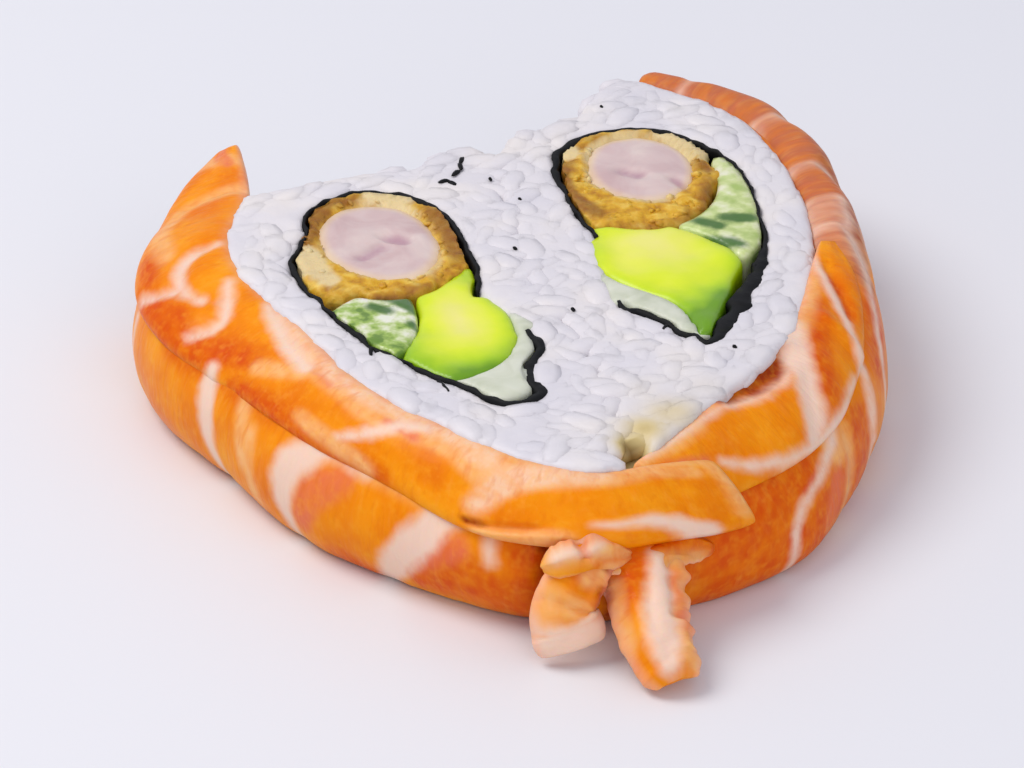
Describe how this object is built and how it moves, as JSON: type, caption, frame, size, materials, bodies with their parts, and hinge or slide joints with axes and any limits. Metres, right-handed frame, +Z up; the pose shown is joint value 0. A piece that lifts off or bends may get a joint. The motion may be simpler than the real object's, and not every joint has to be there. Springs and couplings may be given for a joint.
{
  "type": "sushi roll",
  "caption": "Heart-shaped piece of inside-out sushi: teardrop slices of a filled rice roll pressed together and wrapped in salmon, with ends of salmon hanging out at the tip.",
  "frame": {"origin": "on the surface that the piece lies on, under the middle of its box", "axes": "+Z up, square to the cut faces; +Y from the heart's tip to its cleft; +X towards the half that reaches further back"},
  "size_m": [0.0646, 0.081, 0.0145],
  "materials": {
    "rice": "moist cooked white rice, slightly see-through, tinted yellow where it is pressed",
    "nori": "damp black-green seaweed sheet with a crinkled cut edge",
    "prawn": "pale pink-white prawn meat in a golden brown fried crumb crust",
    "avocado": "soft smooth avocado, pale yellow inside to lime green at its rim",
    "cucumber": "wet pale green cucumber with dark green skin",
    "cream_cheese": "smooth white cream cheese",
    "salmon": "glossy raw salmon, orange with pale lines of fat"
  },
  "bodies": {
    "root": {"rice_left": "rice", "rice_right": "rice", "nori_left": "nori", "nori_right": "nori", "prawn_left": "prawn", "prawn_right": "prawn", "avocado_left": "avocado", "avocado_right": "avocado", "cucumber_left": "cucumber", "cucumber_right": "cucumber", "cream_cheese_left": "cream_cheese", "cream_cheese_right": "cream_cheese", "salmon_left_upper": "salmon", "salmon_right_upper": "salmon", "salmon_left_lower": "salmon", "salmon_right_lower": "salmon", "salmon_tail_left": "salmon", "salmon_tail_right": "salmon"}
  },
  "joints": []
}
